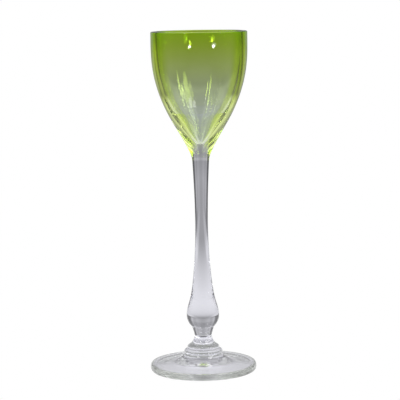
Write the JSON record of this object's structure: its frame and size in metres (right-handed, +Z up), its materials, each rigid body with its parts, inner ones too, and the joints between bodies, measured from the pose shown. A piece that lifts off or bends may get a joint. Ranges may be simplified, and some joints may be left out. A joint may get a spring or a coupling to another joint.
{
  "type": "cordial glass",
  "caption": "Tall cordial glass: a green bowl that fades to clear, with panels moulded inside, on a slim baluster stem, stepped collar and disc foot.",
  "frame": {"origin": "centre of the foot, on the surface the glass stands on", "axes": "+Z up along the stem to the rim; the glass is round, so X and Y are any two level directions, and -Y is the pictured side"},
  "size_m": [0.0524, 0.0524, 0.167],
  "materials": {
    "clear_glass": "fire polished, faintly uneven as hand-drawn glass is",
    "pale_green_glass": "fire polished, with soft moulded panels inside",
    "green_glass": "fire polished, fading out towards its lower edge"
  },
  "bodies": {
    "root": {"foot": "clear_glass", "lower_merese": "clear_glass", "upper_merese": "clear_glass", "stem_collar": "clear_glass", "stem": "clear_glass", "bowl": "pale_green_glass", "green_flash": "green_glass"}
  },
  "joints": []
}
